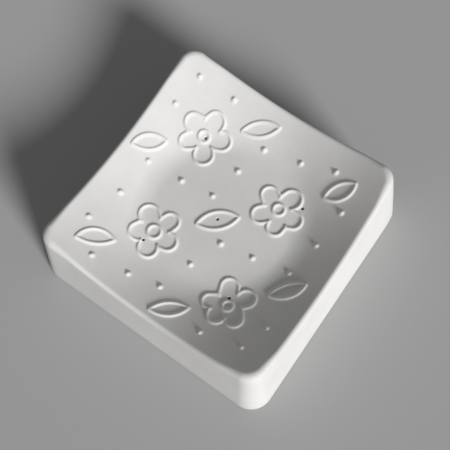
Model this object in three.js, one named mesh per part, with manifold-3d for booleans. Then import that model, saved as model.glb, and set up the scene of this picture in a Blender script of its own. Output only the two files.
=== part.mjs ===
// Square ceramic slump mould: a one-piece bisque dish with raised flowers, leaves and dots for marking clay
import * as THREE from 'three';
import { mergeVertices } from 'three/addons/utils/BufferGeometryUtils.js';
import Module from 'manifold-3d';

const wasm = await Module();
wasm.setup();

// Plan sizes, in millimetres
const RIM_SIDE = 171;
const RIM_BOW = 2;
const RIM_CORNER_RADIUS = 12;
const FOOT_SIDE = 190;
const FOOT_CORNER_RADIUS = 16;
const WALL = 6;

// Dish: a round flat floor that bends into a cone, cut off by the square rim, so the corners stand highest
const FLOOR_HEIGHT = 34;
const FLOOR_RADIUS = 55.7;
const FLOOR_BEND = 8.5;
const CONE_SLOPE = 0.478;
const CONE_FLARE = 0.0012;
const DISH_THICKNESS = 6;

// Rounded edges. The rim's round grows towards the corners, between these shares of half its side
const RIM_ROUND = 2.4;
const RIM_CORNER_ROUND = 4.2;
const ROUND_GROWS_FROM = 0.65;
const ROUND_GROWS_TO = 0.94;
const FOOT_ROUND = 1;
const INSIDE_ROUND = 4;
const INSIDE_ROUND_SHARE = 0.8;
const LEAST_INSIDE_CORNER = 1;

// Raised lines and dots
const RIDGE_WIDTH = 3.4;
const RIDGE_HEIGHT = 1.2;
const RIDGE_CREST_WIDTH = 0.9;
const RIDGE_STEP = 2.8;
const RIDGE_END_REACH = 1.1;
const RIDGE_END_SCALE = 0.45;
const PETAL_SPUR = 1.2;
const DOT_DIAMETER = 4.6;
const DOT_HEIGHT = 1.7;
const DOT_SHOULDER_HEIGHT = 1.35;
const DOT_SHOULDER_DIAMETER = 1.5;

// How far raised details reach into the dish to join it, and how far a drill runs past both faces
const SUNK_DEPTH = 0.5;
const DRILL_CLEARANCE = 4;

// The side of the rim that the pattern below is drawn for. The pattern grows and shrinks with the rim.
const PATTERN_SIDE = 171;
const PATTERN_SCALE = RIM_SIDE / PATTERN_SIDE;

// Vent holes let air in under the clay
const VENT_DIAMETER = 1.8;
const VENTS = [[-1.9, -1.9], [-43.2, 42.1], [42.2, 37.2], [-35.1, -43], [36.7, -42.9]];

// Each flower has a ring and, anticlockwise, five petals. A petal is a round cap about x, y, with straight sides
// that run to the notch before it and to its own notch
const FLOWERS = [
  {
    ring: { x: -44.5, y: 42, radius: 3.8 },
    petals: [
      { x: -43, y: 54.5, radius: 6.3, notch: [-50.5, 52.5] },
      { x: -55, y: 45, radius: 6.2, notch: [-55, 38.5] },
      { x: -52.5, y: 32, radius: 4.9, notch: [-45, 32] },
      { x: -37.5, y: 31, radius: 6.8, notch: [-35, 38.5] },
      { x: -32.5, y: 46.5, radius: 6.5, notch: [-36.5, 52] },
    ],
  },
  {
    ring: { x: 29, y: 27.5, radius: 4 },
    petals: [
      { x: 32.5, y: 38.5, radius: 6.8, notch: [24.5, 36.5] },
      { x: 18, y: 33, radius: 6.1, notch: [18.5, 24.5] },
      { x: 20.5, y: 17.5, radius: 6.1, notch: [28, 16] },
      { x: 34, y: 15.5, radius: 5.7, notch: [40, 19.5] },
      { x: 41.5, y: 26.5, radius: 5.9, notch: [37, 33] },
    ],
  },
  {
    ring: { x: -32.5, y: -34, radius: 4.6 },
    petals: [
      { x: -27.5, y: -22, radius: 6.1, notch: [-34.5, -23] },
      { x: -42.5, y: -26, radius: 7.1, notch: [-45, -33] },
      { x: -41, y: -40, radius: 6.4, notch: [-36.5, -45] },
      { x: -29, y: -46, radius: 6.4, notch: [-24, -41.5] },
      { x: -20.5, y: -34.5, radius: 6.1, notch: [-23, -28] },
    ],
  },
  {
    ring: { x: 39, y: -48, radius: 3.6 },
    petals: [
      { x: 46.5, y: -37, radius: 6.2, notch: [40, -36.5] },
      { x: 32.5, y: -36.5, radius: 6.1, notch: [29, -44.5] },
      { x: 27, y: -52, radius: 5.1, notch: [30, -56.5] },
      { x: 36.5, y: -57.5, radius: 6.1, notch: [43, -57.5] },
      { x: 48, y: -53.5, radius: 5.7, notch: [48, -44.5] },
    ],
  },
];

// Each leaf is two arcs between its tips, bulging to either side of the line from the first tip to the second
const LEAVES = [
  { from: [-24.5, 60], to: [-2.5, 75], left: 5, right: 4.5 },
  { from: [-80, 6.5], to: [-63.5, 23.5], left: 5.5, right: 4.5 },
  { from: [50.5, 50], to: [64, 66], left: 4.5, right: 6.5 },
  { from: [-12, -13], to: [9.5, 7.5], left: 6.5, right: 6 },
  { from: [-67, -69.5], to: [-48.5, -55.5], left: 7, right: 3.5 },
  { from: [-0.5, -80], to: [19, -64], left: 4.5, right: 5 },
  { from: [57.5, -27], to: [74, -8], left: 4, right: 5.5 },
];

const DOTS = [
  [-67.5, 71], [-40, 73], [-72, 47], [-65.5, 4.5], [-39, 7], [-14.5, 10],
  [-4, 58], [-10.5, 35], [23.5, 62.5], [48, 67.5], [66.5, 45.5], [64.5, 19],
  [60, -6.5], [33.5, -11], [10, -15], [1.5, -38.5], [-66.5, -25.5], [-70.5, -53],
  [-52, -73], [-27, -68.5], [-5.5, -63], [35.5, -73.5], [69.5, -47], [63.5, -67],
];

// Facets, and how often the place where the rim's round meets the dish is worked out anew
const MEETING_PASSES = 2;
const FEWEST_ARC_STEPS = 4;
const SIDE_STEPS = 12;
const CORNER_STEPS = 6;
const RIM_STEPS = 5;
const FOOT_STEPS = 2;
const INSIDE_STEPS = 2;
const DISH_FACETS = { bend: 4, cone: 3 };
const HOLLOW_FACETS = { bend: 2, cone: 1 };
const DOT_SIDES = 8;
const VENT_SIDES = 12;

// A rounded square whose sides bow outwards, as points with their outward normals, anticlockwise
function squareOutline(side, cornerRadius, bow) {
  const centre = side / 2 - cornerRadius;
  const lean = Math.atan((2 * bow) / centre);
  const reach = centre + cornerRadius * Math.sin(lean);
  const rise = (reach * Math.tan(lean)) / 2;
  const origin = new THREE.Vector2();
  const points = [];
  for (let quarter = 0; quarter < 4; quarter += 1) {
    const turn = (quarter * Math.PI) / 2;
    for (let i = 0; i < SIDE_STEPS; i += 1) {
      const along = (2 * i) / SIDE_STEPS - 1;
      const across = centre + cornerRadius * Math.cos(lean) + rise * (1 - along * along);
      const point = new THREE.Vector2(across, along * reach);
      const normal = new THREE.Vector2(1, along * Math.tan(lean)).normalize();
      points.push({ point: point.rotateAround(origin, turn), normal: normal.rotateAround(origin, turn) });
    }
    for (let i = 0; i < CORNER_STEPS; i += 1) {
      const angle = THREE.MathUtils.lerp(lean, Math.PI / 2 - lean, i / CORNER_STEPS);
      const normal = new THREE.Vector2(Math.cos(angle), Math.sin(angle));
      const point = new THREE.Vector2(centre, centre).addScaledVector(normal, cornerRadius);
      points.push({ point: point.rotateAround(origin, turn), normal: normal.rotateAround(origin, turn) });
    }
  }
  return points;
}

// Height of the dish's upper face and its slope away from the middle
function dishHeight(x, y) {
  const past = Math.hypot(x, y) - FLOOR_RADIUS;
  const bend = THREE.MathUtils.clamp(past + FLOOR_BEND, 0, 2 * FLOOR_BEND);
  const straight = Math.max(past - FLOOR_BEND, 0);
  const flare = CONE_FLARE * Math.max(past, 0) ** 2;
  return FLOOR_HEIGHT + CONE_SLOPE * ((bend * bend) / (4 * FLOOR_BEND) + straight) + flare;
}

function dishSlope(x, y) {
  const past = Math.hypot(x, y) - FLOOR_RADIUS;
  const bend = THREE.MathUtils.clamp(past + FLOOR_BEND, 0, 2 * FLOOR_BEND);
  return (CONE_SLOPE * bend) / (2 * FLOOR_BEND) + 2 * CONE_FLARE * Math.max(past, 0);
}

function undersideHeight(x, y) {
  return dishHeight(x, y) - DISH_THICKNESS * Math.hypot(1, dishSlope(x, y));
}

// A point of the pattern at its place on the dish
function patternPoint(x, y) {
  return new THREE.Vector2(x, y).multiplyScalar(PATTERN_SCALE);
}

// A closed solid from a list of equal rings, each end closed by a fan or, for a loop, joined to the other
function solidFromRings(rings, ends) {
  const count = rings[0].length;
  const positions = rings.flat().flatMap((p) => [p.x, p.y, p.z]);
  const triangles = [];
  const spans = ends ? rings.length - 1 : rings.length;
  for (let r = 0; r < spans; r += 1) {
    const low = r * count;
    const high = ((r + 1) % rings.length) * count;
    for (let i = 0; i < count; i += 1) {
      const next = (i + 1) % count;
      triangles.push(low + i, low + next, high + next, low + i, high + next, high + i);
    }
  }
  if (ends) {
    const last = (rings.length - 1) * count;
    const first = positions.length / 3;
    positions.push(ends[0].x, ends[0].y, ends[0].z, ends[1].x, ends[1].y, ends[1].z);
    for (let i = 0; i < count; i += 1) {
      const next = (i + 1) % count;
      triangles.push(first, next, i, first + 1, last + i, last + next);
    }
  }
  const geometry = new THREE.BufferGeometry();
  geometry.setAttribute('position', new THREE.Float32BufferAttribute(positions, 3));
  geometry.setIndex(triangles);
  return manifoldFrom(geometry);
}

function manifoldFrom(geometry) {
  geometry.deleteAttribute('normal');
  geometry.deleteAttribute('uv');
  const merged = mergeVertices(geometry);
  const vertProperties = new Float32Array(merged.attributes.position.array);
  const triVerts = new Uint32Array(merged.index.array);
  return new wasm.Manifold(new wasm.Mesh({ numProp: 3, vertProperties, triVerts }));
}

function geometryFrom(solid) {
  const mesh = solid.getMesh();
  const geometry = new THREE.BufferGeometry();
  geometry.setAttribute('position', new THREE.BufferAttribute(mesh.vertProperties, 3));
  geometry.setIndex(new THREE.BufferAttribute(mesh.triVerts, 1));
  geometry.computeVertexNormals();
  return geometry;
}

function centroid(ring) {
  const sum = ring.reduce((total, p) => total.add(p), new THREE.Vector3());
  return sum.divideScalar(ring.length);
}

// Rings from just inside an outer ring, down the cone and round the bend to the edge of the flat floor
function dishRings(outer, height, facets) {
  const rings = [];
  const circle = (p, radius) => new THREE.Vector2(p.x, p.y).setLength(radius);
  for (let step = 1; step <= facets.cone; step += 1) {
    rings.push(outer.map((p) => {
      const inner = circle(p, FLOOR_RADIUS + FLOOR_BEND);
      const at = new THREE.Vector2(p.x, p.y).lerp(inner, step / facets.cone);
      return new THREE.Vector3(at.x, at.y, height(at.x, at.y));
    }));
  }
  for (let step = 1; step <= facets.bend; step += 1) {
    rings.push(outer.map((p) => {
      const at = circle(p, FLOOR_RADIUS + FLOOR_BEND * (1 - (2 * step) / facets.bend));
      return new THREE.Vector3(at.x, at.y, height(at.x, at.y));
    }));
  }
  return rings;
}

// The rim's round at a point of its outline: its radius, the height of its centre, and the slope that it meets
function rimRound(point, normal) {
  const share = Math.min(Math.abs(point.x), Math.abs(point.y)) / (RIM_SIDE / 2);
  const growth = THREE.MathUtils.smoothstep(share, ROUND_GROWS_FROM, ROUND_GROWS_TO);
  const radius = THREE.MathUtils.lerp(RIM_ROUND, RIM_CORNER_ROUND, growth);
  const outward = point.clone().normalize().dot(normal);
  const meeting = point.clone();
  let slope = 0;
  for (let pass = 0; pass < MEETING_PASSES; pass += 1) {
    slope = Math.atan(dishSlope(meeting.x, meeting.y) * outward);
    meeting.copy(point).addScaledVector(normal, -radius * (1 + Math.sin(slope)));
  }
  return { radius, slope, centreHeight: dishHeight(meeting.x, meeting.y) - radius * Math.cos(slope) };
}

// The rounded rim, from the outer wall over the crest to where it meets the dish
function rimRings(rim, foot) {
  const rings = [];
  for (let step = 0; step <= RIM_STEPS; step += 1) {
    rings.push(rim.map(({ point, normal }, i) => {
      const { radius, slope, centreHeight } = rimRound(point, normal);
      const lean = foot[i].point.clone().sub(point).dot(normal);
      const start = Math.atan2(lean, centreHeight);
      const angle = THREE.MathUtils.lerp(start, Math.PI / 2 + slope, step / RIM_STEPS);
      const at = point.clone().addScaledVector(normal, radius * (Math.cos(angle) - 1));
      return new THREE.Vector3(at.x, at.y, centreHeight + radius * Math.sin(angle));
    }));
  }
  return rings;
}

// The flat foot and the small round at its outer edge
function footRings(foot) {
  const rings = [];
  for (let step = 0; step <= FOOT_STEPS; step += 1) {
    const angle = (step / FOOT_STEPS) * (Math.PI / 2);
    rings.push(foot.map(({ point, normal }) => {
      const at = point.clone().addScaledVector(normal, FOOT_ROUND * (Math.sin(angle) - 1));
      return new THREE.Vector3(at.x, at.y, FOOT_ROUND * (1 - Math.cos(angle)));
    }));
  }
  return rings;
}

// The hollow under the dish: straight inner walls that turn into its underside with a round
function hollowRings() {
  const topCorner = Math.max(RIM_CORNER_RADIUS - WALL, LEAST_INSIDE_CORNER);
  const footCorner = Math.max(FOOT_CORNER_RADIUS - WALL, LEAST_INSIDE_CORNER);
  const top = squareOutline(RIM_SIDE - 2 * WALL, topCorner, RIM_BOW);
  const foot = squareOutline(FOOT_SIDE - 2 * WALL, footCorner, 0);
  const round = Math.min(INSIDE_ROUND, topCorner * INSIDE_ROUND_SHARE);
  const footRing = foot.map(({ point }) => new THREE.Vector3(point.x, point.y, 0));
  const rounds = [];
  for (let step = 0; step <= INSIDE_STEPS; step += 1) {
    const angle = (step / INSIDE_STEPS) * (Math.PI / 2);
    rounds.push(top.map(({ point, normal }) => {
      const inset = round * (1 - Math.cos(angle));
      const at = point.clone().addScaledVector(normal, -inset);
      const ceiling = undersideHeight(at.x, at.y);
      return new THREE.Vector3(at.x, at.y, ceiling - round * (1 - Math.sin(angle)));
    }));
  }
  return [footRing, ...rounds, ...dishRings(rounds[INSIDE_STEPS], undersideHeight, HOLLOW_FACETS)];
}

function makeShell() {
  const rim = squareOutline(RIM_SIDE, RIM_CORNER_RADIUS, RIM_BOW);
  const foot = squareOutline(FOOT_SIDE, FOOT_CORNER_RADIUS, 0);
  const crest = rimRings(rim, foot);
  const dish = dishRings(crest[RIM_STEPS], dishHeight, DISH_FACETS);
  const hollow = hollowRings().reverse();
  const rings = [...hollow, ...footRings(foot), ...crest, ...dish];
  return solidFromRings(rings, [centroid(rings[0]), centroid(rings[rings.length - 1])]);
}

// Points along an arc, close enough together for a smooth ridge
function arcPoints(centre, radius, startAngle, endAngle) {
  const length = Math.abs(endAngle - startAngle) * radius;
  const steps = Math.max(FEWEST_ARC_STEPS, Math.round(length / RIDGE_STEP));
  const points = [];
  for (let i = 0; i <= steps; i += 1) {
    const angle = THREE.MathUtils.lerp(startAngle, endAngle, i / steps);
    points.push(new THREE.Vector2(Math.cos(angle), Math.sin(angle)).multiplyScalar(radius).add(centre));
  }
  return points;
}

// One cross-section of a ridge, standing on the dish across the given direction
function ridgeSection(point, direction, scale) {
  const across = new THREE.Vector2(-direction.y, direction.x);
  const half = RIDGE_WIDTH / 2;
  const crest = RIDGE_CREST_WIDTH / 2;
  const flank = RIDGE_HEIGHT / (half - crest);
  const profile = [
    [-half - SUNK_DEPTH / flank, -SUNK_DEPTH],
    [half + SUNK_DEPTH / flank, -SUNK_DEPTH],
    [crest, RIDGE_HEIGHT],
    [-crest, RIDGE_HEIGHT],
  ];
  return profile.map(([offset, rise]) => {
    const at = point.clone().addScaledVector(across, offset * scale);
    const lift = rise > 0 ? rise * scale : rise;
    return new THREE.Vector3(at.x, at.y, dishHeight(at.x, at.y) + lift);
  });
}

function directionAt(points, i, closed) {
  const count = points.length;
  const before = closed ? points[(i + count - 1) % count] : points[Math.max(i - 1, 0)];
  const after = closed ? points[(i + 1) % count] : points[Math.min(i + 1, count - 1)];
  return after.clone().sub(before).normalize();
}

// A raised line with narrowed ends, following the dish
function makeRidge(points) {
  const first = directionAt(points, 0, false);
  const last = directionAt(points, points.length - 1, false);
  const rings = points.map((p, i) => ridgeSection(p, directionAt(points, i, false), 1));
  const start = points[0].clone().addScaledVector(first, -RIDGE_END_REACH);
  const end = points[points.length - 1].clone().addScaledVector(last, RIDGE_END_REACH);
  rings.unshift(ridgeSection(start, first, RIDGE_END_SCALE));
  rings.push(ridgeSection(end, last, RIDGE_END_SCALE));
  return solidFromRings(rings, [centroid(rings[0]), centroid(rings[rings.length - 1])]);
}

function makeRing({ x, y, radius }) {
  const points = arcPoints(patternPoint(x, y), radius * PATTERN_SCALE, 0, 2 * Math.PI).slice(0, -1);
  const rings = points.map((p, i) => ridgeSection(p, directionAt(points, i, true), 1));
  return solidFromRings(rings, null);
}

// Angle on a circle where a straight line from a point outside touches it
function touchAngle(centre, radius, point, side) {
  const towards = point.clone().sub(centre);
  return towards.angle() + side * Math.acos(Math.min(radius / towards.length(), 1));
}

// A petal's line: from the notch before it round its cap to its own notch, and a little way on towards the ring
function petalPoints(petal, notchBefore, ring) {
  const centre = patternPoint(petal.x, petal.y);
  const radius = petal.radius * PATTERN_SCALE;
  const from = patternPoint(...notchBefore);
  const notch = patternPoint(...petal.notch);
  const inward = patternPoint(ring.x, ring.y).sub(notch).setLength(PETAL_SPUR);
  const start = touchAngle(centre, radius, from, 1);
  let end = touchAngle(centre, radius, notch, -1);
  while (end < start) end += 2 * Math.PI;
  return [from, ...arcPoints(centre, radius, start, end), notch, notch.clone().add(inward)];
}

function makeFlower({ ring, petals }) {
  const outlines = petals.map((petal, i) => {
    const before = petals[(i + petals.length - 1) % petals.length];
    return makeRidge(petalPoints(petal, before.notch, ring));
  });
  return [makeRing(ring), ...outlines];
}

// An arc between two points that bulges by the given amount to the left of the line between them
function bulgeArc(from, to, drawnBulge) {
  const start = patternPoint(...from);
  const end = patternPoint(...to);
  const bulge = drawnBulge * PATTERN_SCALE;
  const chord = end.clone().sub(start);
  const left = new THREE.Vector2(-chord.y, chord.x).normalize();
  const radius = (chord.lengthSq() / 4 + bulge ** 2) / (2 * Math.abs(bulge));
  const inset = Math.sign(bulge) * (Math.abs(bulge) - radius);
  const centre = start.clone().add(end).multiplyScalar(0.5).addScaledVector(left, inset);
  const startAngle = start.clone().sub(centre).angle();
  const turn = 2 * Math.asin(chord.length() / 2 / radius);
  return arcPoints(centre, radius, startAngle, startAngle - Math.sign(bulge) * turn);
}

function makeLeaf({ from, to, left, right }) {
  return [makeRidge(bulgeArc(from, to, left)), makeRidge(bulgeArc(from, to, -right))];
}

function makeDot(place) {
  const { x, y } = patternPoint(...place);
  const flank = (2 * DOT_SHOULDER_HEIGHT) / (DOT_DIAMETER - DOT_SHOULDER_DIAMETER);
  const ring = (radius, rise) => Array.from({ length: DOT_SIDES }, (_, i) => {
    const angle = (i / DOT_SIDES) * 2 * Math.PI;
    const px = x + radius * Math.cos(angle);
    const py = y + radius * Math.sin(angle);
    return new THREE.Vector3(px, py, dishHeight(px, py) + rise);
  });
  const foot = ring(DOT_DIAMETER / 2 + SUNK_DEPTH / flank, -SUNK_DEPTH);
  const shoulder = ring(DOT_SHOULDER_DIAMETER / 2, DOT_SHOULDER_HEIGHT);
  const tip = new THREE.Vector3(x, y, dishHeight(x, y) + DOT_HEIGHT);
  return solidFromRings([foot, shoulder], [centroid(foot), tip]);
}

function makeVent(place) {
  const { x, y } = patternPoint(...place);
  const length = DISH_THICKNESS * Math.hypot(1, dishSlope(x, y)) + 2 * DRILL_CLEARANCE;
  const drill = new THREE.CylinderGeometry(VENT_DIAMETER / 2, VENT_DIAMETER / 2, length, VENT_SIDES);
  drill.rotateX(Math.PI / 2);
  drill.translate(x, y, dishHeight(x, y) - DISH_THICKNESS / 2);
  return manifoldFrom(drill);
}

function makeMould() {
  const raised = [...FLOWERS.flatMap(makeFlower), ...LEAVES.flatMap(makeLeaf), ...DOTS.map(makeDot)];
  const withPattern = raised.reduce((solid, detail) => solid.add(detail), makeShell());
  return VENTS.map(makeVent).reduce((solid, vent) => solid.subtract(vent), withPattern);
}

const bisque = new THREE.MeshStandardMaterial({ color: 0xe6e3dc, roughness: 0.92, metalness: 0 });
const mould = new THREE.Mesh(geometryFrom(makeMould()), bisque);
mould.name = 'slump_mould';

const part = new THREE.Group();
part.name = 'textured_slump_mould';
part.add(mould);

export default part;
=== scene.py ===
# Looks of a square ceramic slump mould, modelled in millimetres and placed in the frame in metres
import math

import bmesh
import bpy
import numpy as np
from mathutils import Matrix, Vector
from mathutils.geometry import delaunay_2d_cdt


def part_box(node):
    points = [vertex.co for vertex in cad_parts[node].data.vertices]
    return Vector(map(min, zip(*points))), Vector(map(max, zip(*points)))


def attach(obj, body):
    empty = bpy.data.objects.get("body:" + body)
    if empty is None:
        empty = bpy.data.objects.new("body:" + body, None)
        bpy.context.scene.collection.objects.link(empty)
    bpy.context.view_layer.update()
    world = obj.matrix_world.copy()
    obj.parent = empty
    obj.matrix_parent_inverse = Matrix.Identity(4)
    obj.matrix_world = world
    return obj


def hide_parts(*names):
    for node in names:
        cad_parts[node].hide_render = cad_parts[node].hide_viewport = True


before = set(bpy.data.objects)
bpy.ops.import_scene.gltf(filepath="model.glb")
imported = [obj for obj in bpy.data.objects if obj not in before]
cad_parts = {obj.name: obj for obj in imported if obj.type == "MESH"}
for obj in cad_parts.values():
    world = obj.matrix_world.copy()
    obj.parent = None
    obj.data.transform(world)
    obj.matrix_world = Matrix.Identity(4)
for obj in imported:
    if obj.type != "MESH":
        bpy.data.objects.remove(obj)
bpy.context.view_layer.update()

MM = 0.001
NODE = "slump_mould"
node_low, node_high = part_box(NODE)
ALONG_DIAGONAL = math.sqrt(0.5)

# Plan sizes
FOOT_SIDE = (node_high[0] - node_low[0]) / MM
RIM_SIDE = 171.0
RIM_BOW = 2.0
RIM_CORNER_RADIUS = 12.0
FOOT_CORNER_RADIUS = 16.0
WALL = 6.0

# Dish
FLOOR_HEIGHT = 34.0
FLOOR_RADIUS = 55.7
FLOOR_BEND = 8.5
CONE_SLOPE = 0.478
CONE_FLARE = 0.0012
DISH_THICKNESS = 6.0

# Rounded edges. The rim's round grows towards the corners, between these shares of half its side
RIM_ROUND = 2.4
RIM_CORNER_ROUND = 4.2
ROUND_GROWS_FROM = 0.65
ROUND_GROWS_TO = 0.94
FOOT_ROUND = 1.0
INSIDE_ROUND = 4.0

# A cast mould's corners are not quite alike. Each draw: x sign, y sign, top or foot, how far out the corner
# is drawn, and how far away that still shows. It fades evenly over the draw height above the foot
CORNER_DRAWS = [(-1, -1, "top", 1.7, 24.0), (-1, 1, "top", 1.0, 24.0), (1, 1, "foot", -2.2, 21.0)]
DRAW_HEIGHT = 57.0

# Raised lines. Each wave: how large a share of the line it changes, its wavelength and its seed
RIDGE_HALF_WIDTH = 2.0
RIDGE_HEIGHT = 1.2
RIDGE_END_FADE = 1.2
PETAL_SPUR = 1.2
WIDTH_WAVE = (0.07, 17.0, 0.6)
HEIGHT_WAVE = (0.08, 23.0, 2.1)

# Each wave is a sum of this many sines, which turn, shift and stretch from one to the next
SINES = 4
SINE_TURN = 2.4
SINE_SHIFT = 1.7
SINE_STRETCH = 0.23

# A dot is as high as its diameter times its steepness, and its tip is rounded over a share of its radius
DOT_STEEPNESS = 0.36
DOT_TIP_ROUND = 0.1
DOT_FOOT_POWER = 4
VENT_RADIUS = 1.1
VENT_BEVEL = 0.1
VENT_MOUTH = VENT_RADIUS + VENT_BEVEL

# The higher this power, the more sharply crossing lines and dots meet
BLEND_POWER = 6

VENTS = [(-1.9, -1.9), (-43.2, 42.1), (42.2, 37.2), (-35.1, -43.0), (36.7, -42.9)]

# Each flower: its ring as x, y and radius, then its five petals anticlockwise. A petal is a round cap, as x,
# y and radius, and its straight sides run to the notch before it and to its own notch, the last two numbers
FLOWERS = [
    ((-44.5, 42.0, 3.8), [
        (-43.0, 54.5, 6.3, -50.5, 52.5),
        (-55.0, 45.0, 6.2, -55.0, 38.5),
        (-52.5, 32.0, 4.9, -45.0, 32.0),
        (-37.5, 31.0, 6.8, -35.0, 38.5),
        (-32.5, 46.5, 6.5, -36.5, 52.0),
    ]),
    ((29.0, 27.5, 4.0), [
        (32.5, 38.5, 6.8, 24.5, 36.5),
        (18.0, 33.0, 6.1, 18.5, 24.5),
        (20.5, 17.5, 6.1, 28.0, 16.0),
        (34.0, 15.5, 5.7, 40.0, 19.5),
        (41.5, 26.5, 5.9, 37.0, 33.0),
    ]),
    ((-32.5, -34.0, 4.6), [
        (-27.5, -22.0, 6.1, -34.5, -23.0),
        (-42.5, -26.0, 7.1, -45.0, -33.0),
        (-41.0, -40.0, 6.4, -36.5, -45.0),
        (-29.0, -46.0, 6.4, -24.0, -41.5),
        (-20.5, -34.5, 6.1, -23.0, -28.0),
    ]),
    ((39.0, -48.0, 3.6), [
        (46.5, -37.0, 6.2, 40.0, -36.5),
        (32.5, -36.5, 6.1, 29.0, -44.5),
        (27.0, -52.0, 5.1, 30.0, -56.5),
        (36.5, -57.5, 6.1, 43.0, -57.5),
        (48.0, -53.5, 5.7, 48.0, -44.5),
    ]),
]

# Each leaf: its two tips, and how far its arcs bulge to the left and right of the line between them
LEAVES = [
    ((-24.5, 60.0), (-2.5, 75.0), 5.0, 4.5),
    ((-80.0, 6.5), (-63.5, 23.5), 5.5, 4.5),
    ((50.5, 50.0), (64.0, 66.0), 4.5, 6.5),
    ((-12.0, -13.0), (9.5, 7.5), 6.5, 6.0),
    ((-67.0, -69.5), (-48.5, -55.5), 7.0, 3.5),
    ((-0.5, -80.0), (19.0, -64.0), 4.5, 5.0),
    ((57.5, -27.0), (74.0, -8.0), 4.0, 5.5),
]

# Each dot: x, y and its diameter
DOTS = [
    (-67.5, 71.0, 5.0), (-40.0, 73.0, 5.5), (-72.0, 47.0, 5.0), (-65.5, 4.5, 5.0),
    (-39.0, 7.0, 5.5), (-14.5, 10.0, 5.0), (-4.0, 58.0, 5.5), (-10.5, 35.0, 5.5),
    (23.5, 62.5, 5.0), (48.0, 67.5, 5.0), (66.5, 45.5, 5.0), (64.5, 19.0, 4.5),
    (60.0, -6.5, 5.0), (33.5, -11.0, 5.0), (10.0, -15.0, 5.5), (1.5, -38.5, 5.0),
    (-66.5, -25.5, 5.5), (-70.5, -53.0, 5.0), (-52.0, -73.0, 5.0), (-27.0, -68.5, 5.0),
    (-5.5, -63.0, 5.0), (35.5, -73.5, 4.5), (69.5, -47.0, 4.0), (63.5, -67.0, 4.0),
]

# How many steps divide the outline, the rim, the walls and the rounds
SIDE_STEPS = 96
CORNER_STEPS = 24
RIM_STEPS = 12
WALL_STEPS = 8
FOOT_STEPS = 4
INSIDE_STEPS = 6
VENT_STEPS = 4

# Points on the pattern: rows beside a line, rings round a dot as shares of its radius, rings round a vent
RIDGE_ROWS = (0.0, 0.35, 0.7, 1.05, 1.4, 1.8, 2.3)
ROWS_BOTH_SIDES = sorted({side * row for row in RIDGE_ROWS for side in (1, -1)}, key=abs)
RIDGE_SPACING = 0.7
LEAST_ARC_STEPS = 8
LEAST_LINE_STEPS = 3
LEAST_ROW_RADIUS = 0.5
DOT_RINGS = (0.15, 0.3, 0.45, 0.6, 0.77, 0.98, 1.23)
DOT_SIDES = 20
VENT_RINGS = (0.25, 0.6, 1.1)
VENT_SIDES = 24

# Spacing of the nets between them, and the least gap that points of each sort keep from those before them
OPEN_SPACING = 1.6
HOLLOW_SPACING = 5.0
DOT_GAP = 0.14
ARC_GAP = 0.28
LINE_GAP = 0.392
OPEN_GAP = 1.12
EDGE_GAP = 0.5
SAME_POINT = 1e-5


# Outline and dish

def square_outline(side, corner_radius, bow):
    """A rounded square whose sides bow outwards, anticlockwise: points and outward normals."""
    centre = side / 2 - corner_radius
    lean = math.atan(2 * bow / centre)
    reach = centre + corner_radius * math.sin(lean)
    rise = reach * math.tan(lean) / 2
    along = np.arange(SIDE_STEPS) * 2 / SIDE_STEPS - 1
    across = centre + corner_radius * math.cos(lean) + rise * (1 - along**2)
    straight = np.column_stack([across, along * reach])
    straight_normals = np.column_stack([np.ones(SIDE_STEPS), along * math.tan(lean)])
    straight_normals /= np.linalg.norm(straight_normals, axis=1, keepdims=True)
    angles = lean + np.arange(CORNER_STEPS) / CORNER_STEPS * (math.pi / 2 - 2 * lean)
    corner_normals = np.column_stack([np.cos(angles), np.sin(angles)])
    quarter = np.vstack([straight, centre + corner_radius * corner_normals])
    quarter_normals = np.vstack([straight_normals, corner_normals])
    turns = [np.array([[c, s], [-s, c]]) for c, s in ((1, 0), (0, 1), (-1, 0), (0, -1))]
    points = np.vstack([quarter @ turn for turn in turns])
    normals = np.vstack([quarter_normals @ turn for turn in turns])
    return points, normals


def dish_height(plan):
    """Height of the bare dish: flat in the middle, then a bend into a cone that flares."""
    past = np.linalg.norm(plan, axis=1) - FLOOR_RADIUS
    bend = np.clip(past + FLOOR_BEND, 0, 2 * FLOOR_BEND)
    straight = np.maximum(past - FLOOR_BEND, 0)
    flare = CONE_FLARE * np.maximum(past, 0) ** 2
    return FLOOR_HEIGHT + CONE_SLOPE * (bend**2 / (4 * FLOOR_BEND) + straight) + flare


def dish_slope(plan):
    """How steeply the bare dish rises away from its middle."""
    past = np.linalg.norm(plan, axis=1) - FLOOR_RADIUS
    bend = np.clip(past + FLOOR_BEND, 0, 2 * FLOOR_BEND)
    return CONE_SLOPE * bend / (2 * FLOOR_BEND) + 2 * CONE_FLARE * np.maximum(past, 0)


def underside_height(plan):
    """Height of the hollow's ceiling, which lies the dish's thickness below it, square to the slope."""
    return dish_height(plan) - DISH_THICKNESS * np.hypot(1, dish_slope(plan))


# Pattern. A stroke is an arc (x, y, radius, two angles) and the straight lines (x, y, x, y) that carry it on

def touch_angle(x, y, radius, point, side):
    """Angle on a circle where a straight line from a point outside touches it."""
    towards = np.array(point) - np.array([x, y])
    return math.atan2(towards[1], towards[0]) + side * math.acos(min(radius / np.linalg.norm(towards), 1))


def petal_stroke(petal, notch_before, ring):
    """From the notch before the petal round its cap to its own notch, and a little on towards the ring."""
    x, y, radius, *notch = petal
    start = touch_angle(x, y, radius, notch_before, 1)
    end = touch_angle(x, y, radius, notch, -1)
    while end < start:
        end += 2 * math.pi
    first, last = [(x + radius * math.cos(angle), y + radius * math.sin(angle)) for angle in (start, end)]
    inward = np.array(ring[:2]) - np.array(notch)
    tip = np.array(notch) + inward * PETAL_SPUR / np.linalg.norm(inward)
    return (x, y, radius, start, end), [(*notch_before, *first), (*last, *notch), (*notch, *tip)]


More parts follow.
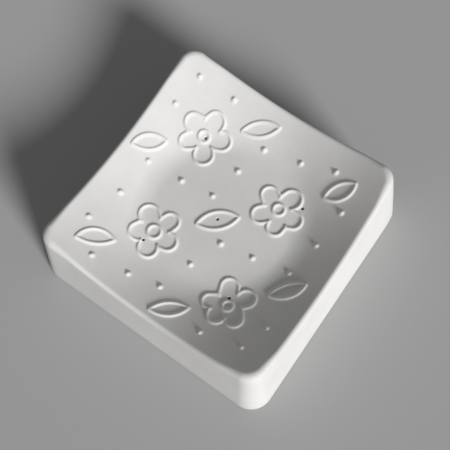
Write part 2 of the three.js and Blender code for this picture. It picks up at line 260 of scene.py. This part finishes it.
def flower_strokes(ring, petals):
    strokes = [((*ring, 0.0, 2 * math.pi), [])]
    strokes += [petal_stroke(petal, petals[i - 1][3:], ring) for i, petal in enumerate(petals)]
    return strokes


def bulge_arc(start, end, bulge):
    """The arc between two points that bulges by that much to the left of the line between them."""
    start = np.array(start)
    end = np.array(end)
    chord = end - start
    length = np.linalg.norm(chord)
    left = np.array([-chord[1], chord[0]]) / length
    radius = (length**2 / 4 + bulge**2) / (2 * abs(bulge))
    centre = (start + end) / 2 + left * math.copysign(1, bulge) * (abs(bulge) - radius)
    middle = math.atan2(*(left[::-1] * math.copysign(1, bulge)))
    half_turn = math.asin(length / 2 / radius)
    return (centre[0], centre[1], radius, middle - half_turn, middle + half_turn)


def pattern_strokes():
    strokes = []
    for ring, petals in FLOWERS:
        strokes += flower_strokes(ring, petals)
    for start, end, left, right in LEAVES:
        strokes += [(bulge_arc(start, end, left), []), (bulge_arc(start, end, -right), [])]
    return strokes


STROKES = pattern_strokes()


def wave(plan, share, wavelength, seed):
    """A slow, repeatable factor that stays within a share of 1 all over the plan."""
    total = np.zeros(len(plan))
    for k in range(SINES):
        angle = seed + SINE_TURN * k
        along = plan[:, 0] * math.cos(angle) + plan[:, 1] * math.sin(angle)
        total += np.sin(along * 2 * math.pi / (wavelength * (1 + SINE_STRETCH * k)) + SINE_SHIFT * seed + k)
    return 1 + share * total / SINES


def arc_distance(plan, arc):
    """Distance from an arc, in which the way past its ends counts for more."""
    x, y, radius, start, end = arc
    offset = plan - np.array([x, y])
    middle = (start + end) / 2
    turn = (np.arctan2(offset[:, 1], offset[:, 0]) - middle + math.pi) % (2 * math.pi) - math.pi
    past = np.maximum(np.abs(turn) - (end - start) / 2, 0) * radius
    across = np.linalg.norm(offset, axis=1) - radius
    return np.hypot(across, past * RIDGE_HALF_WIDTH / RIDGE_END_FADE)


def line_distance(plan, line):
    """Distance from a straight line, in which the way past its ends counts for more."""
    start = np.array(line[:2])
    chord = np.array(line[2:]) - start
    length = np.linalg.norm(chord)
    along = (plan - start) @ chord / length
    across = (plan - start) @ np.array([-chord[1], chord[0]]) / length
    past = np.maximum(np.abs(along - length / 2) - length / 2, 0)
    return np.hypot(across, past * RIDGE_HALF_WIDTH / RIDGE_END_FADE)


def relief(plan):
    """Height of the raised lines and dots above the dish."""
    total = np.zeros(len(plan))
    width = RIDGE_HALF_WIDTH * wave(plan, *WIDTH_WAVE)
    height = RIDGE_HEIGHT * wave(plan, *HEIGHT_WAVE)
    for arc, lines in STROKES:
        away = np.min([arc_distance(plan, arc)] + [line_distance(plan, line) for line in lines], axis=0)
        reach = np.clip(away / width, 0, 1)
        total += (height * (0.5 + 0.5 * np.cos(math.pi * reach))) ** BLEND_POWER
    for x, y, diameter in DOTS:
        reach = np.clip(np.linalg.norm(plan - np.array([x, y]), axis=1) / (diameter / 2), 0, 1)
        cone = 1 + DOT_TIP_ROUND - np.hypot(reach, DOT_TIP_ROUND)
        total += (DOT_STEEPNESS * diameter * cone * (1 - reach**DOT_FOOT_POWER)) ** BLEND_POWER
    return total ** (1 / BLEND_POWER)


def surface_height(plan):
    return dish_height(plan) + relief(plan)


# Points for the upper face: rows along each line, rings round each dot and vent, and a net between them

def arc_rows(arc):
    """Points in rows along an arc and a little past its ends, unless it is a whole ring."""
    x, y, radius, start, end = arc
    closed = math.isclose(end - start, 2 * math.pi)
    reach = 0 if closed else RIDGE_END_FADE / radius
    steps = max(LEAST_ARC_STEPS, round((end - start + 2 * reach) * radius / RIDGE_SPACING))
    angles = np.linspace(start - reach, end + reach, steps, endpoint=not closed)
    circle = np.column_stack([np.cos(angles), np.sin(angles)])
    radii = [radius + row for row in ROWS_BOTH_SIDES if radius + row > LEAST_ROW_RADIUS]
    return np.vstack([np.array([x, y]) + row_radius * circle for row_radius in radii])


def line_rows(line):
    """Points in rows along a straight line and a little past its ends."""
    start = np.array(line[:2])
    chord = np.array(line[2:]) - start
    length = np.linalg.norm(chord)
    chord /= length
    aside = np.array([-chord[1], chord[0]])
    steps = max(LEAST_LINE_STEPS, round((length + 2 * RIDGE_END_FADE) / RIDGE_SPACING))
    along = np.linspace(-RIDGE_END_FADE, length + RIDGE_END_FADE, steps)
    return np.vstack([start + along[:, None] * chord + row * aside for row in ROWS_BOTH_SIDES])


def rings_round(place, radii, sides):
    angles = np.arange(sides) * 2 * math.pi / sides
    circle = np.column_stack([np.cos(angles), np.sin(angles)])
    return np.vstack([np.array(place) + radius * circle for radius in radii])


def dot_points(x, y, diameter):
    rings = [diameter / 2 * share for share in DOT_RINGS]
    return np.vstack([[(x, y)], rings_round((x, y), rings, DOT_SIDES)])


def triangle_net(reach, spacing):
    """A net of even triangles over a square that reaches that far from the middle."""
    rows = np.arange(-reach, reach, spacing * math.sqrt(3) / 2)
    points = []
    for i, y in enumerate(rows):
        xs = np.arange(-reach + (i % 2) * spacing / 2, reach, spacing)
        points.append(np.column_stack([xs, np.full(len(xs), y)]))
    return np.vstack(points)


def inside_outline(plan, outline, margin):
    """True where a point is at least the margin inside each side of an outline."""
    following = np.roll(outline, -1, axis=0)
    edges = following - outline
    edges /= np.linalg.norm(edges, axis=1, keepdims=True)
    inward = np.column_stack([-edges[:, 1], edges[:, 0]])
    offsets = (outline * inward).sum(axis=1)
    depth = (plan @ inward.T - offsets).min(axis=1)
    return depth > margin


def upper_groups(outline):
    """Groups of points for the dish, the most important first, each with its gap and whether all stay."""
    vent_radii = [VENT_MOUTH + ring for ring in VENT_RINGS]
    groups = [
        (np.vstack([rings_round(place, vent_radii, VENT_SIDES) for place in VENTS]), 0.0, True),
        (np.vstack([dot_points(*dot) for dot in DOTS]), DOT_GAP, False),
        (np.vstack([arc_rows(arc) for arc, _ in STROKES]), ARC_GAP, False),
        (np.vstack([line_rows(line) for _, lines in STROKES for line in lines]), LINE_GAP, False),
        (triangle_net(RIM_SIDE / 2 + RIM_BOW, OPEN_SPACING), OPEN_GAP, False),
    ]
    return [(points[inside_outline(points, outline, EDGE_GAP)], gap, whole) for points, gap, whole in groups]


def clear_of_vents(groups, clearance):
    """The groups without the points that lie in or at a vent's mouth."""
    cleared = []
    for points, gap, whole in groups:
        away = np.min([np.linalg.norm(points - np.array(place), axis=1) for place in VENTS], axis=0)
        cleared.append((points[away > clearance], gap, whole))
    return cleared


def thinned(groups):
    """Points of each group in turn, leaving out any too close to one that is kept."""
    kept = []
    cells = {}
    for points, gap, whole in groups:
        for point in points:
            cell = (int(point[0] // OPEN_SPACING), int(point[1] // OPEN_SPACING))
            near = [
                other
                for dx in (-1, 0, 1)
                for dy in (-1, 0, 1)
                for other in cells.get((cell[0] + dx, cell[1] + dy), ())
            ]
            if not whole and any(math.dist(point, other) < gap for other in near):
                continue
            kept.append(point)
            cells.setdefault(cell, []).append(point)
    return np.array(kept)


# Mesh of the mould

class Skin:
    """Collects points and faces of one closed surface."""

    def __init__(self):
        self.points = []
        self.faces = []

    def add(self, points):
        """Adds points and returns their numbers."""
        first = len(self.points)
        self.points.extend(points)
        return list(range(first, len(self.points)))

    def band(self, lower, upper):
        """Joins two closed loops of as many points."""
        count = len(lower)
        for i in range(count):
            j = (i + 1) % count
            self.faces.append((lower[i], lower[j], upper[j], upper[i]))


def with_height(plan, height):
    return np.column_stack([plan, height])


def turns_clockwise(triangle):
    """True where three points, taken in order along an anticlockwise outline, bound a bay outside it."""
    first, second, third = triangle
    return (second[0] - first[0]) * (third[1] - first[1]) < (second[1] - first[1]) * (third[0] - first[0])


def fill(skin, groups, rim_ids, rim_plan, vent_ids, vent_plans, height):
    """Fills the plan inside a rim loop, leaving the vents and the bays outside the rim open."""
    inner = thinned(groups)
    inner_ids = skin.add(with_height(inner, height(inner)))
    plan = np.vstack([rim_plan] + vent_plans + [inner])
    ids = rim_ids + [i for loop in vent_ids for i in loop] + inner_ids
    rim_place = {i: place for place, i in enumerate(rim_ids)}
    vent_of = {i: vent for vent, loop in enumerate(vent_ids) for i in loop}
    result = delaunay_2d_cdt([Vector(point) for point in plan], [], [], 0, SAME_POINT)
    sources = [ids[found[0]] for found in result[3]]
    for face in result[2]:
        corners = [sources[i] for i in face]
        vents = {vent_of.get(i) for i in corners}
        in_vent = len(vents) == 1 and None not in vents
        places = sorted(rim_place[i] for i in corners if i in rim_place)
        in_bay = len(places) == 3 and turns_clockwise(rim_plan[places])
        if not in_vent and not in_bay:
            skin.faces.append(tuple(corners))


def rim_round(rim):
    """Radius of the rim's rounding, which grows towards the corners."""
    share = np.abs(rim).min(axis=1) / (RIM_SIDE / 2)
    growth = np.clip((share - ROUND_GROWS_FROM) / (ROUND_GROWS_TO - ROUND_GROWS_FROM), 0, 1)
    return RIM_ROUND + (RIM_CORNER_ROUND - RIM_ROUND) * growth**2 * (3 - 2 * growth)


def rim_loops(rim, rim_normals, foot):
    """The rounded rim from the outer wall over the crest to where it meets the dish."""
    radius = rim_round(rim)
    outward = (rim / np.linalg.norm(rim, axis=1, keepdims=True) * rim_normals).sum(axis=1)
    first_slope = np.arctan(dish_slope(rim) * outward)
    near_meeting = rim - rim_normals * (radius * (1 + np.sin(first_slope)))[:, None]
    slope = np.arctan(dish_slope(near_meeting) * outward)
    meeting = rim - rim_normals * (radius * (1 + np.sin(slope)))[:, None]
    centre_height = dish_height(meeting) - radius * np.cos(slope)
    lean = ((foot - rim) * rim_normals).sum(axis=1)
    start = np.arctan2(lean, centre_height)
    loops = []
    for step in range(RIM_STEPS + 1):
        angle = start + (math.pi / 2 + slope - start) * step / RIM_STEPS
        plan = rim + rim_normals * (radius * (np.cos(angle) - 1))[:, None]
        fade = np.clip((angle - math.pi / 2) / slope, 0, 1) ** 2
        height = centre_height + radius * np.sin(angle) + fade * relief(plan)
        loops.append(with_height(plan, np.minimum(height, node_high[2] / MM)))
    return loops


def foot_loops(foot, normals):
    """The round at the bottom edge, from the foot band up to the wall."""
    loops = []
    for step in range(FOOT_STEPS + 1):
        angle = step / FOOT_STEPS * math.pi / 2
        plan = foot + normals * FOOT_ROUND * (math.sin(angle) - 1)
        loops.append(with_height(plan, np.full(len(plan), FOOT_ROUND * (1 - math.cos(angle)))))
    return loops


def straight_loops(lower, upper, steps):
    """Loops strictly between two loops."""
    return [lower + (upper - lower) * step / steps for step in range(1, steps)]


def hollow_loops():
    """The hollow under the dish: its foot edge, its walls and the round into its ceiling."""
    top, normals = square_outline(RIM_SIDE - 2 * WALL, RIM_CORNER_RADIUS - WALL, RIM_BOW)
    foot, _ = square_outline(FOOT_SIDE - 2 * WALL, FOOT_CORNER_RADIUS - WALL, 0)
    rounds = []
    for step in range(INSIDE_STEPS + 1):
        angle = step / INSIDE_STEPS * math.pi / 2
        plan = top - normals * INSIDE_ROUND * (1 - math.cos(angle))
        drop = INSIDE_ROUND * (1 - math.sin(angle))
        rounds.append(with_height(plan, underside_height(plan) - drop))
    edge = with_height(foot, np.zeros(len(foot)))
    return [edge] + straight_loops(edge, rounds[0], WALL_STEPS) + rounds


def corner_tip(side, corner_radius):
    """How far along x and y the middle of a rounded corner lies."""
    return side / 2 - corner_radius * (1 - ALONG_DIAGONAL)


def drawn_corners(points):
    """The points with the corners drawn along their diagonals, fading out with distance and height."""
    result = points.copy()
    rise = np.clip((points[:, 2] - FOOT_ROUND) / DRAW_HEIGHT, 0, 1)
    tips = {
        "top": corner_tip(RIM_SIDE, RIM_CORNER_RADIUS),
        "foot": corner_tip(FOOT_SIDE, FOOT_CORNER_RADIUS),
    }
    for sign_x, sign_y, level, amount, reach in CORNER_DRAWS:
        diagonal = np.array([sign_x, sign_y])
        away = np.linalg.norm(points[:, :2] - diagonal * tips[level], axis=1)
        near = np.cos(np.minimum(away / reach, 1) * math.pi / 2) ** 2
        share = rise if level == "top" else 1 - rise
        result[:, :2] += (near * share * amount * ALONG_DIAGONAL)[:, None] * diagonal
    return result


def add_loops(skin, loops):
    """Adds loops with a band between each two, and returns each loop's numbers."""
    ids = [skin.add(loop) for loop in loops]
    for lower, upper in zip(ids, ids[1:]):
        skin.band(lower, upper)
    return ids


def add_vents(skin):
    """The holes' walls, with a small bevel at the upper mouth. Returns their upper and lower mouths."""
    upper_ids, lower_ids, upper_plans, lower_plans = [], [], [], []
    for place in VENTS:
        mouth = rings_round(place, [VENT_MOUTH], VENT_SIDES)
        bore = rings_round(place, [VENT_RADIUS], VENT_SIDES)
        top = with_height(mouth, surface_height(mouth))
        throat = with_height(bore, surface_height(bore) - VENT_BEVEL)
        bottom = with_height(bore, underside_height(bore))
        ids = add_loops(skin, [bottom] + straight_loops(bottom, throat, VENT_STEPS) + [throat, top])
        lower_ids.append(ids[0])
        upper_ids.append(ids[-1])
        lower_plans.append(bore)
        upper_plans.append(mouth)
    return upper_ids, upper_plans, lower_ids, lower_plans


def mould_skin():
    """One closed surface: hollow, foot, walls, rim, vents, dish and the hollow's ceiling."""
    rim, rim_normals = square_outline(RIM_SIDE, RIM_CORNER_RADIUS, RIM_BOW)
    foot, foot_normals = square_outline(FOOT_SIDE, FOOT_CORNER_RADIUS, 0)
    rim_part = rim_loops(rim, rim_normals, foot)
    foot_part = foot_loops(foot, foot_normals)
    hollow = hollow_loops()
    walls = straight_loops(foot_part[-1], rim_part[0], WALL_STEPS)
    skin = Skin()
    ids = add_loops(skin, hollow[::-1] + foot_part + walls + rim_part)
    upper_ids, upper_plans, lower_ids, lower_plans = add_vents(skin)
    dish_edge = rim_part[-1][:, :2]
    groups = clear_of_vents(upper_groups(dish_edge), VENT_MOUTH + VENT_RINGS[0] / 2)
    fill(skin, groups, ids[-1], dish_edge, upper_ids, upper_plans, surface_height)
    ceiling_edge = hollow[-1][:, :2]
    net = triangle_net(RIM_SIDE / 2, HOLLOW_SPACING)
    net = net[inside_outline(net, ceiling_edge, HOLLOW_SPACING / 2)]
    groups = clear_of_vents([(net, 0.0, True)], HOLLOW_SPACING / 2)
    fill(skin, groups, ids[0], ceiling_edge, lower_ids, lower_plans, underside_height)
    return skin


def add_object(name, data):
    added = bpy.data.objects.new(name, data)
    bpy.context.scene.collection.objects.link(added)
    return added


def make_mould():
    skin = mould_skin()
    mesh = bpy.data.meshes.new("mould_skin")
    points = drawn_corners(np.array(skin.points))
    mesh.from_pydata([tuple(MM * point) for point in points], [], skin.faces)
    surface = bmesh.new()
    surface.from_mesh(mesh)
    bmesh.ops.recalc_face_normals(surface, faces=surface.faces)
    surface.to_mesh(mesh)
    surface.free()
    mesh.shade_smooth()
    return add_object("mould", mesh)


# Materials. A noise is scale, detail and roughness, a ramp two ends, and a bump strength and depth

BISQUE_ROUGHNESS = 0.88
BISQUE_SPECULAR = 0.25
CLOUD_NOISE = (38.0, 3.0, 0.55)
CLOUD_RAMP = ((0.3, (0.765, 0.757, 0.742, 1)), (0.7, (0.815, 0.808, 0.795, 1)))
GRAIN_NOISE = (1500.0, 2.0, 0.6)
SPECK_RAMP = ((0.28, (0.9, 0.89, 0.87, 1)), (0.4, (1, 1, 1, 1)))
GRAIN_BUMP = (0.35, 0.06)
UNEVEN_NOISE = (90.0, 2.0, 0.5)
UNEVEN_BUMP = (0.5, 0.12)

FLOOR_TONE_SEEN = (0.47, 0.47, 0.47)
FLOOR_TONE_THROWN_BACK = (0.3, 0.3, 0.3)


def new_material(name):
    """A material, its node tree and its shader."""
    material = bpy.data.materials.new(name)
    material.use_nodes = True
    return material, material.node_tree, material.node_tree.nodes["Principled BSDF"]


def noise(tree, scale, detail, roughness):
    """Noise fixed to the piece itself, in features to the metre."""
    place = tree.nodes.new("ShaderNodeTexCoord")
    node = tree.nodes.new("ShaderNodeTexNoise")
    node.inputs["Scale"].default_value = scale
    node.inputs["Detail"].default_value = detail
    node.inputs["Roughness"].default_value = roughness
    tree.links.new(place.outputs["Object"], node.inputs["Vector"])
    return node.outputs["Fac"]


def ramp(tree, level, low, high):
    """Turns a level into a colour between two ends, each a level and a colour."""
    node = tree.nodes.new("ShaderNodeValToRGB")
    for element, (position, colour) in zip(node.color_ramp.elements, (low, high)):
        element.position = position
        element.color = colour
    tree.links.new(level, node.inputs["Fac"])
    return node.outputs["Color"]


def bump(tree, height, strength, depth):
    node = tree.nodes.new("ShaderNodeBump")
    node.inputs["Strength"].default_value = strength
    node.inputs["Distance"].default_value = depth * MM
    tree.links.new(height, node.inputs["Height"])
    return node


def bisque_material():
    """Matt white ceramic: faintly clouded, with fine specks, a dry grain and a slightly uneven surface."""
    material, tree, shader = new_material("bisque")
    shader.inputs["Roughness"].default_value = BISQUE_ROUGHNESS
    shader.inputs["Specular IOR Level"].default_value = BISQUE_SPECULAR
    clouds = ramp(tree, noise(tree, *CLOUD_NOISE), *CLOUD_RAMP)
    grain = noise(tree, *GRAIN_NOISE)
    specks = ramp(tree, grain, *SPECK_RAMP)
    colour = tree.nodes.new("ShaderNodeMix")
    colour.data_type = "RGBA"
    colour.blend_type = "MULTIPLY"
    colour.inputs["Factor"].default_value = 1.0
    tree.links.new(clouds, colour.inputs["A"])
    tree.links.new(specks, colour.inputs["B"])
    tree.links.new(colour.outputs["Result"], shader.inputs["Base Color"])
    uneven_bump = bump(tree, noise(tree, *UNEVEN_NOISE), *UNEVEN_BUMP)
    grain_bump = bump(tree, grain, *GRAIN_BUMP)
    tree.links.new(uneven_bump.outputs["Normal"], grain_bump.inputs["Normal"])
    tree.links.new(grain_bump.outputs["Normal"], shader.inputs["Normal"])
    return material


def seen_directly(tree):
    """1 for what the camera sees, also in a reflection or through glass, and 0 for light on the mould."""
    path = tree.nodes.new("ShaderNodeLightPath")
    seen = path.outputs["Is Camera Ray"]
    for other in ("Is Glossy Ray", "Is Transmission Ray"):
        either = tree.nodes.new("ShaderNodeMath")
        either.operation = "MAXIMUM"
        tree.links.new(seen, either.inputs[0])
        tree.links.new(path.outputs[other], either.inputs[1])
        seen = either.outputs["Value"]
    return seen


def floor_material():
    """Pale where it is seen, and a darker grey in the light that it throws back at the mould."""
    material, tree, shader = new_material("pale_floor")
    shader.inputs["Roughness"].default_value = 1.0
    shader.inputs["Specular IOR Level"].default_value = 0.0
    tone = tree.nodes.new("ShaderNodeMix")
    tone.data_type = "RGBA"
    tone.inputs["A"].default_value = (*FLOOR_TONE_THROWN_BACK, 1)
    tone.inputs["B"].default_value = (*FLOOR_TONE_SEEN, 1)
    tree.links.new(seen_directly(tree), tone.inputs["Factor"])
    tree.links.new(tone.outputs["Result"], shader.inputs["Base Color"])
    return material


# Camera, at the angle that the photograph was taken from. Every azimuth is measured from +X towards +Y

PHOTO_PIXELS = 450.0
FOCAL_PIXELS = 775.9
SENSOR = 36.0
CAMERA_AZIMUTH = -49.16
CAMERA_ELEVATION = 72.53
CAMERA_ROLL = -6.01
CAMERA_DISTANCE = 558.0
CAMERA_TARGET = Vector((-0.16, 3.27, 10.0))
NEAREST_SEEN = 10.0


def direction(azimuth, elevation):
    """Unit vector towards an azimuth and an elevation in degrees."""
    around = math.radians(azimuth)
    above = math.radians(elevation)
    return Vector((math.cos(around) * math.cos(above), math.sin(around) * math.cos(above), math.sin(above)))


def make_camera():
    roll = math.radians(CAMERA_ROLL)
    back = direction(CAMERA_AZIMUTH, CAMERA_ELEVATION)
    level_right = (-back).cross(Vector((0, 0, 1))).normalized()
    level_up = level_right.cross(-back)
    right = level_right * math.cos(roll) + level_up * math.sin(roll)
    up = level_up * math.cos(roll) - level_right * math.sin(roll)
    data = bpy.data.cameras.new("camera")
    data.sensor_width = SENSOR
    data.lens = SENSOR * FOCAL_PIXELS / PHOTO_PIXELS
    data.clip_start = NEAREST_SEEN * MM
    camera = add_object("camera", data)
    place = Matrix.Translation((CAMERA_TARGET + back * CAMERA_DISTANCE) * MM)
    camera.matrix_world = place @ Matrix((right, up, back)).transposed().to_4x4()
    bpy.context.scene.camera = camera


# Light: one wide soft lamp low on the right and an even sky, with a backdrop as pale as the floor

LAMP_AZIMUTH = -20.5
LAMP_ELEVATION = 26.8
LAMP_SPREAD = 18.0
LAMP_STRENGTH = 3.25
SKY_LEVEL = 0.165
BACKDROP_LEVEL = 0.31


def make_lamp():
    data = bpy.data.lights.new("window", "SUN")
    data.angle = math.radians(LAMP_SPREAD)
    data.energy = LAMP_STRENGTH
    lamp = add_object("window", data)
    towards = direction(LAMP_AZIMUTH, LAMP_ELEVATION)
    lamp.location = towards
    lamp.rotation_euler = towards.to_track_quat("Z", "Y").to_euler()


def make_sky():
    world = bpy.data.worlds.new("sky")
    world.use_nodes = True
    tree = world.node_tree
    level = tree.nodes.new("ShaderNodeMix")
    level.inputs["A"].default_value = SKY_LEVEL
    level.inputs["B"].default_value = BACKDROP_LEVEL
    tree.links.new(seen_directly(tree), level.inputs["Factor"])
    background = tree.nodes["Background"]
    background.inputs["Color"].default_value = (1, 1, 1, 1)
    tree.links.new(level.outputs["Result"], background.inputs["Strength"])
    bpy.context.scene.world = world


# Floor, whose reach is in metres

FLOOR_REACH = 3.0


def make_floor():
    mesh = bpy.data.meshes.new("floor")
    corners = [(x * FLOOR_REACH, y * FLOOR_REACH, 0) for x, y in ((-1, -1), (1, -1), (1, 1), (-1, 1))]
    mesh.from_pydata(corners, [], [(0, 1, 2, 3)])
    floor = add_object("floor", mesh)
    floor.data.materials.append(floor_material())


make_camera()
make_lamp()
make_sky()
make_floor()

mould = make_mould()
mould.data.materials.append(bisque_material())
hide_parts(NODE)
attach(mould, "root")

bpy.context.scene.view_settings.view_transform = "Standard"
